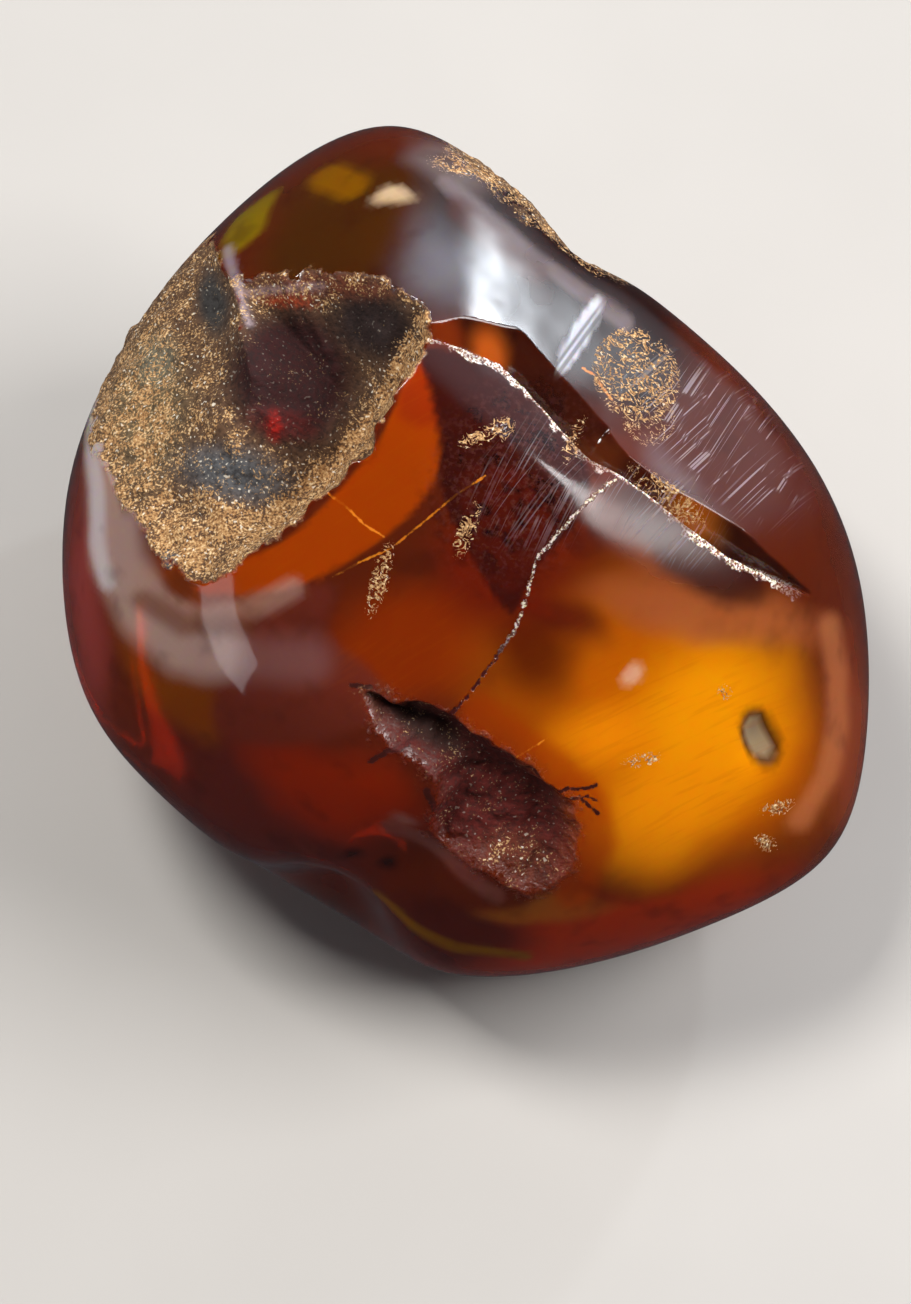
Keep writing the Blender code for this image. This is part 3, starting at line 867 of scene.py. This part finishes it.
class Nodes:
    """Makes the nodes of a material or a world, linked as they are made."""

    def __init__(self, owner):
        owner.use_nodes = True
        self.owner = owner
        self.tree = owner.node_tree
        self.tree.nodes.clear()
        self.place = self.make("ShaderNodeTexCoord").outputs

    def put(self, socket, value):
        """Links a socket to an output, or sets it."""
        if isinstance(value, bpy.types.NodeSocket):
            self.tree.links.new(value, socket)
        else:
            socket.default_value = value

    def make(self, kind, inputs=None, **settings):
        """A new node with its settings and its inputs, which are named or numbered."""
        node = self.tree.nodes.new(kind)
        for name, value in settings.items():
            setattr(node, name, value)
        for name, value in (inputs or {}).items():
            self.put(node.inputs[name], value)
        return node

    def value(self, name):
        """A named value of the mesh."""
        return self.make("ShaderNodeAttribute", attribute_name=name).outputs["Fac"]

    def painted(self, name):
        """A named colour of the mesh."""
        return self.make("ShaderNodeAttribute", attribute_name=name).outputs["Color"]

    def maths(self, operation, *values):
        """Arithmetic on two or more values, from the left."""
        result = values[0]
        for value in values[1:]:
            result = self.make("ShaderNodeMath", {0: result, 1: value}, operation=operation).outputs[0]
        return result

    def plus(self, *terms):
        """The sum of some terms."""
        return self.maths("ADD", *terms)

    def minus(self, a, b):
        """What is left of a without b."""
        return self.maths("SUBTRACT", a, b)

    def times(self, *factors):
        """The product of some factors."""
        return self.maths("MULTIPLY", *factors)

    def largest(self, *values):
        """The largest of some values."""
        return self.maths("MAXIMUM", *values)

    def swing(self, noise, reach, middle=0.5):
        """Noise about its middle, from about minus to plus half of the reach."""
        return self.times(self.minus(noise, middle), reach)

    def rise(self, value, low, high, start=0.0, end=1.0):
        """A smooth change from start to end as the value goes from low to high."""
        inputs = {"Value": value, "From Min": low, "From Max": high, "To Min": start, "To Max": end}
        return self.make("ShaderNodeMapRange", inputs, interpolation_type="SMOOTHSTEP").outputs["Result"]

    def noise(self, size, detail=3.0, stretch=None, turn=0.0, bend=0.0):
        """Noise with lumps of this size in millimetres; stretch draws it out, after a turn about the view."""
        place = self.place["Object"]
        if stretch:
            rotation = (TILT, 0.0, math.radians(turn))
            place = self.make("ShaderNodeMapping", {"Vector": place, "Rotation": rotation, "Scale": stretch},
                              vector_type="TEXTURE").outputs["Vector"]
        inputs = {"Vector": place, "Scale": 1 / (size * MM), "Detail": detail, "Roughness": 0.55,
                  "Distortion": bend}
        return self.make("ShaderNodeTexNoise", inputs).outputs["Fac"]

    def mix(self, share, a, b):
        """Two colours mixed by a share."""
        node = self.make("ShaderNodeMix", data_type="RGBA")
        self.put(node.inputs[0], share)
        self.put(node.inputs[6], a)
        self.put(node.inputs[7], b)
        return node.outputs[2]

    def tinted(self, colour, share, tint):
        """A colour with a share of a named tint over it."""
        return self.mix(share, colour, solid(TINTS[tint]))

    def ramp(self, value, stops):
        """Colours along a value from 0 to 1."""
        node = self.make("ShaderNodeValToRGB", {"Fac": value})
        elements = node.color_ramp.elements
        while len(elements) < len(stops):
            elements.new(0.5)
        for element, (place, colour) in zip(elements, stops):
            element.position = place
            element.color = solid(colour)
        return node.outputs["Color"]


class Amber(Nodes):
    """The stone's material: each method makes one thing that is seen in or on the resin."""

    def __init__(self):
        super().__init__(bpy.data.materials.new("amber"))
        self.clouds = self.noise(4.0, 2.0)
        self.coarse = self.noise(1.6, 2.0)
        self.fine = self.noise(0.42, 2.0)
        self.speck = self.noise(0.2, 1.0)
        threads = self.maths("ABSOLUTE", self.minus(self.noise(0.9, 2.0, bend=1.4), 0.5), 0.0)
        self.strand = self.rise(threads, 0.11, 0.0)

    def grown_over(self):
        """Where crust fills the hollows and the pocket, with ragged edges."""
        wander = self.swing(self.coarse, CRUST_WANDER)
        bristles = self.swing(self.fine, POCKET_BRISTLES)
        hollow_in = self.plus(self.value("hollow"), wander)
        pocket_in = self.plus(self.value("pocket"), self.plus(wander, bristles))
        return self.largest(self.rise(hollow_in, -0.25, 0.25), self.rise(pocket_in, -1.0, 1.3, 0.0, 0.92))

    def crust_spots(self):
        """Where the small crusted spots are, made of curled threads."""
        threads = self.swing(self.strand, SPOT_THREADS, 0.55)
        spot_in = self.plus(self.value("spots"), threads, self.swing(self.speck, SPOT_SPECKS))
        return self.rise(spot_in, -0.08, 0.12)

    def crust_paint(self):
        """The crust's colour: dark, with curled gold strands, and pale specks that are partly pale grains and
        partly painted glints.
        """
        gold = self.value("gold")
        pattern = self.plus(self.times(self.strand, 0.4), self.rise(self.speck, 0.3, 0.7, 0.0, 0.6))
        gilt = self.rise(self.plus(pattern, self.swing(self.coarse, 1.4), gold), 0.95, 1.5)
        grain = self.plus(self.times(self.speck, 0.6), self.times(self.fine, 0.4))
        under = self.tinted(self.painted("crust"), self.rise(self.fine, 0.3, 0.6, 0.55, 0.0), "crust_shadow")
        specks = self.times(self.rise(self.noise(0.3, 0.0), 0.73, 0.8), self.rise(gold, 0.0, 0.4, 0.08, 0.7))
        return self.tinted(self.mix(gilt, under, self.ramp(grain, GILT_STOPS)), specks, "crust_speck_and_glint")

    def resin_paint(self):
        """The resin's colour, with soft clouds, streaks in its glow, stains, and a milky painted reflection
        veil over them.
        """
        glow = self.value("glow")
        stains_and_sheen = self.value("stains_and_sheen")
        streaks = self.noise(0.6, 1.0, stretch=(0.5, 7.0, 7.0), turn=-62)
        clouded = self.times(self.rise(self.clouds, 0.5, 0.75, 0.0, 0.35), self.rise(glow, 0.5, 0.0))
        streaked = self.times(self.rise(streaks, 0.5, 0.72, 0.0, 0.16), glow)
        resin = self.tinted(self.painted("resin"), clouded, "cloud")
        resin = self.tinted(resin, streaked, "streak")
        resin = self.tinted(resin, self.times(self.rise(self.coarse, 0.48, 0.66, 0.0, 0.8), stains_and_sheen), "stain")
        return self.tinted(resin, self.times(self.rise(self.fine, 0.45, 0.7, 0.0, 0.3), stains_and_sheen), "painted_reflection_veil")

    def broken_lip(self):
        """Where the cleft's broken pale lip is."""
        cleft = self.value("cleft")
        edge = self.rise(self.plus(cleft, self.swing(self.coarse, LIP_WANDER)), -0.85, -0.6)
        edge = self.times(edge, self.rise(cleft, 0.3, 0.1), self.rise(self.value("cleft_width"), 0.25, 0.8))
        chips = self.rise(self.fine, 0.3, 0.5, 0.25, 1.0)
        return self.times(edge, chips, self.rise(self.clouds, 0.4, 0.5, 0.3, 1.0))

    def inside_cleft(self):
        """Where the cleft's own smooth walls are."""
        cleft = self.value("cleft")
        far_side = self.minus(cleft, self.value("cleft_width"))
        return self.times(self.rise(cleft, 0.1, 0.4), self.rise(far_side, 0.1, -0.1))

    def crack_line(self):
        """Where the hairline crack is."""
        return self.rise(self.plus(self.value("crack"), self.swing(self.fine, CRACK_WANDER)), 0.18, 0.05)

    def crack_paint(self):
        """The crack's colour: pale beads above and dark red below."""
        beads = self.tinted(solid(TINTS["crack_gap"]), self.rise(self.speck, 0.42, 0.6), "crack_bead")
        return self.mix(self.value("crack_pale"), solid(TINTS["crack_low"]), beads)

    def scratches(self):
        """Where fine scratches run, in two crossing sets."""
        hair_a = self.noise(0.13, 0.0, stretch=(1.0, 160.0, 160.0), turn=-27)
        hair_b = self.noise(0.15, 0.0, stretch=(1.0, 160.0, 160.0), turn=-38)
        lines_a = self.times(self.rise(hair_a, 0.58, 0.72), self.rise(self.clouds, 0.42, 0.55))
        lines_b = self.times(self.rise(hair_b, 0.6, 0.72), self.rise(self.clouds, 0.56, 0.44))
        return self.times(self.largest(lines_a, lines_b), self.value("scratches"))

    def striations(self):
        """Where the short pale band of grooves is."""
        grooves = self.noise(0.4, 0.0, stretch=(1.0, 60.0, 60.0), turn=-28)
        return self.times(self.value("striated"), self.rise(grooves, 0.36, 0.6, 0.35, 1.0))

    def bright_seams(self):
        """Where the thin bright seams are."""
        line = self.rise(self.plus(self.value("seam"), self.swing(self.fine, SEAM_WANDER)), 0.1, 0.0)
        return self.times(line, self.rise(self.coarse, 0.36, 0.5, 0.1, 0.9))

    def dark_seams(self):
        """Where the thin dark seams are."""
        line = self.plus(self.value("dark_seam"), self.swing(self.fine, DARK_SEAM_WANDER))
        return self.rise(line, 0.14, 0.0)


def make_amber():
    """Clear resin with cloudy colour, crust in its hollows, broken pale lips, cracks and fine scratches."""
    n = Amber()
    grown_over = n.grown_over()
    crust = n.largest(grown_over, n.crust_spots())
    lip = n.broken_lip()
    crack = n.crack_line()
    scratches = n.scratches()
    striated = n.striations()
    dark_seams = n.dark_seams()

    colour = n.tinted(n.resin_paint(), n.times(scratches, 0.28), "scratch")
    colour = n.tinted(colour, n.times(striated, 0.8), "striation")
    colour = n.tinted(colour, dark_seams, "dark_seam")
    colour = n.tinted(colour, n.bright_seams(), "seam")
    colour = n.mix(crack, colour, n.crack_paint())
    colour = n.mix(lip, colour, n.ramp(n.speck, LIP_STOPS))
    colour = n.mix(crust, colour, n.crust_paint())

    opaque = n.largest(crust, lip, crack, n.times(scratches, 0.7), n.times(striated, 0.8), dark_seams)
    straight = n.rise(n.value("glow"), 0.0, 1.0, CLEAR_SHARE, GLOW_SHARE)
    clear = n.times(n.minus(1.0, opaque), straight)
    cloudy = n.times(n.minus(1.0, crust), CLOUDY_SHARE)

    smooth_walls = n.minus(SCUFF_ROUGHNESS, n.times(n.inside_cleft(), SCUFF_ROUGHNESS))
    rough = n.plus(POLISH, n.times(n.rise(n.clouds, 0.4, 0.7), CLOUD_ROUGHNESS),
                   n.times(n.value("scratches"), SCRATCH_ROUGHNESS),
                   n.times(n.value("scuffed"), smooth_walls),
                   n.times(opaque, BROKEN_ROUGHNESS), n.times(crust, CRUST_ROUGHNESS))

    grainy = n.largest(grown_over, n.rise(n.value("spots"), -0.08, 0.12))
    height = n.plus(n.times(n.noise(3.0, 0.0), WAVE_HEIGHT), n.times(grainy, n.fine, GRAIN_HEIGHT))
    height = n.minus(height, n.times(crack, CRACK_DEPTH))
    relief = n.make("ShaderNodeBump", {"Height": height, "Strength": RELIEF, "Distance": MM})

    shader = n.make("ShaderNodeBsdfPrincipled", {
        "Base Color": colour,
        "Roughness": rough,
        "IOR": IOR,
        "Specular IOR Level": GLOSS,
        "Normal": relief.outputs["Normal"],
        "Transmission Weight": clear,
        "Subsurface Weight": cloudy,
        "Subsurface Radius": CLOUDY_RADIUS,
        "Subsurface Scale": CLOUDY_REACH,
    })
    absorption = n.make("ShaderNodeVolumeAbsorption", {
        "Color": ABSORPTION_COLOUR,
        "Density": ABSORPTION_DENSITY,
    })
    n.make("ShaderNodeOutputMaterial", {
        "Surface": shader.outputs["BSDF"],
        "Volume": absorption.outputs["Volume"],
    })
    return n.owner


stone = make_stone()
stone.data.materials.append(make_amber())
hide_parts("nugget")
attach(stone, "root")

# Floor
FLOOR_SIZE = 3.0
FLOOR_TONES = ((178, 175, 171), (181, 178, 174))


def make_floor():
    """Plain pale floor."""
    bm = bmesh.new()
    bmesh.ops.create_grid(bm, x_segments=1, y_segments=1, size=FLOOR_SIZE / 2)
    mesh = bpy.data.meshes.new("floor")
    bm.to_mesh(mesh)
    bm.free()
    floor = add_object("floor", mesh)
    n = Nodes(bpy.data.materials.new("floor_paper"))
    dark, light = (solid(tone) for tone in FLOOR_TONES)
    tone = n.mix(n.rise(n.noise(40.0, 3.0), 0.3, 0.7), dark, light)
    shader = n.make("ShaderNodeBsdfPrincipled", {"Base Color": tone, "Roughness": 0.7})
    n.make("ShaderNodeOutputMaterial", {"Surface": shader.outputs["BSDF"]})
    mesh.materials.append(n.owner)
    floor.visible_glossy = False


make_floor()

# Camera
# The whole picture is 911 by 1304. The stone's middle is at this point of it, and this is the size
# of one of its steps on the stone's middle plane.
PICTURE = (911, 1304)
STONE_AT = (464, 547)
MM_PER_STEP = 0.0847
CAMERA_DISTANCE = 350.0
SENSOR = 36.0


def scene_point(x, y, z):
    """Scene position of a point in the stone's frame."""
    return Vector(stone_to_scene(np.array([[x, y, z]], float), SHIFT)[0])


def make_camera():
    """Camera above the best side, aimed so that the stone sits high in the picture."""
    data = bpy.data.cameras.new("camera")
    data.sensor_fit = "VERTICAL"
    data.sensor_height = SENSOR
    data.sensor_width = SENSOR
    data.lens = SENSOR * CAMERA_DISTANCE / (PICTURE[1] * MM_PER_STEP)
    data.clip_start = 0.01
    camera = add_object("camera", data)
    aim_x = (PICTURE[0] / 2 - STONE_AT[0]) * MM_PER_STEP
    aim_y = (STONE_AT[1] - PICTURE[1] / 2) * MM_PER_STEP
    place = scene_point(0, 0, CAMERA_DISTANCE)
    look = scene_point(aim_x, aim_y, 0) - place
    camera.location = place
    camera.rotation_euler = look.to_track_quat("-Z", "Y").to_euler()
    bpy.context.scene.camera = camera


make_camera()


# Lights
def surface_at(x, y):
    """The point of the best side at x and y, and the outward direction there, without the hollows."""
    low, high = 0.0, 60.0
    for _ in range(40):
        z = (low + high) / 2
        point = np.array([x, y, z])
        length = np.linalg.norm(point)
        if length > whole_stone(point[None] / length)[0]:
            high = z
        else:
            low = z
    reach = np.clip(FACE_NORMALS @ point / FACE_DISTANCES, 0, None)
    normal = (reach ** (EDGE_SHARPNESS - 1) / FACE_DISTANCES) @ FACE_NORMALS
    return point, normal / np.linalg.norm(normal)


def add_lamp(name, location, target, size, radiance, colour, turn=0.0):
    """A rectangular lamp of this size in millimetres and brightness, aimed at the target."""
    data = bpy.data.lights.new(name, "AREA")
    data.shape = "RECTANGLE"
    data.size, data.size_y = (side * MM for side in size)
    data.energy = radiance * math.pi * data.size * data.size_y
    data.color = colour
    lamp = add_object(name, data)
    lamp.location = location
    lamp.visible_camera = False
    aim = (target - location).to_track_quat("-Z", "Y")
    lamp.rotation_euler = (aim.to_matrix() @ Matrix.Rotation(math.radians(turn), 3, "Z")).to_euler()


def mirrored_lamp(name, x, y, distance, size, radiance, colour, turn=0.0):
    """A lamp whose reflection is seen at x and y on the best side."""
    point, normal = surface_at(x, y)
    to_viewer = np.array([0, 0, CAMERA_DISTANCE]) - point
    to_viewer = to_viewer / np.linalg.norm(to_viewer)
    way = 2 * (normal @ to_viewer) * normal - to_viewer
    add_lamp(name, scene_point(*(point + way * distance)), scene_point(*point), size, radiance, colour, turn)


def standing_lamp(name, around, up, distance, size, radiance, colour):
    """A lamp round the stone, from its angles in degrees about the upright and above the floor."""
    middle = scene_point(0, 0, 0)
    add_lamp(name, middle + Vector(direction(around, up)) * distance * MM, middle, size, radiance, colour)


mirrored_lamp("key", 1.8, 19.6, 420, (24, 15), 340.0, (0.88, 0.94, 1.0), 35)
standing_lamp("right", 4, 44, 600, (340, 240), 15.0, (1.0, 0.98, 0.97))
standing_lamp("overhead", 146, 66, 600, (180, 180), 34.0, (1.0, 0.98, 0.95))
standing_lamp("left", 206, 15, 500, (300, 160), 2.5, (0.97, 0.95, 1.0))


# The ceiling's middle direction, the angles from it where its light starts and ends to fade, and its
# strength and the dim side's.
CEILING_WAY = direction(54, 26)
CEILING_FADE = (4, 46)
CEILING_LIGHT = 0.95
DIM_LIGHT = 0.05
WORLD_COLOUR = (0.86, 0.90, 1.0, 1.0)


def make_world():
    """Studio with a bright soft ceiling behind and to the right, and a dim side toward the viewer."""
    n = Nodes(bpy.data.worlds.new("studio"))
    ways = {0: n.place["Generated"], 1: CEILING_WAY}
    facing = n.make("ShaderNodeVectorMath", ways, operation="DOT_PRODUCT")
    near, far = (math.cos(math.radians(angle)) for angle in CEILING_FADE)
    strength = n.rise(facing.outputs["Value"], far, near, DIM_LIGHT, CEILING_LIGHT)
    background = n.make("ShaderNodeBackground", {"Color": WORLD_COLOUR, "Strength": strength})
    n.make("ShaderNodeOutputWorld", {"Surface": background.outputs["Background"]})
    bpy.context.scene.world = n.owner


make_world()
scene = bpy.context.scene
scene.view_settings.view_transform = "Standard"
scene.cycles.max_bounces = 4
scene.cycles.diffuse_bounces = 2
scene.cycles.glossy_bounces = 2
scene.cycles.transmission_bounces = 3
scene.cycles.sample_clamp_indirect = 4.0
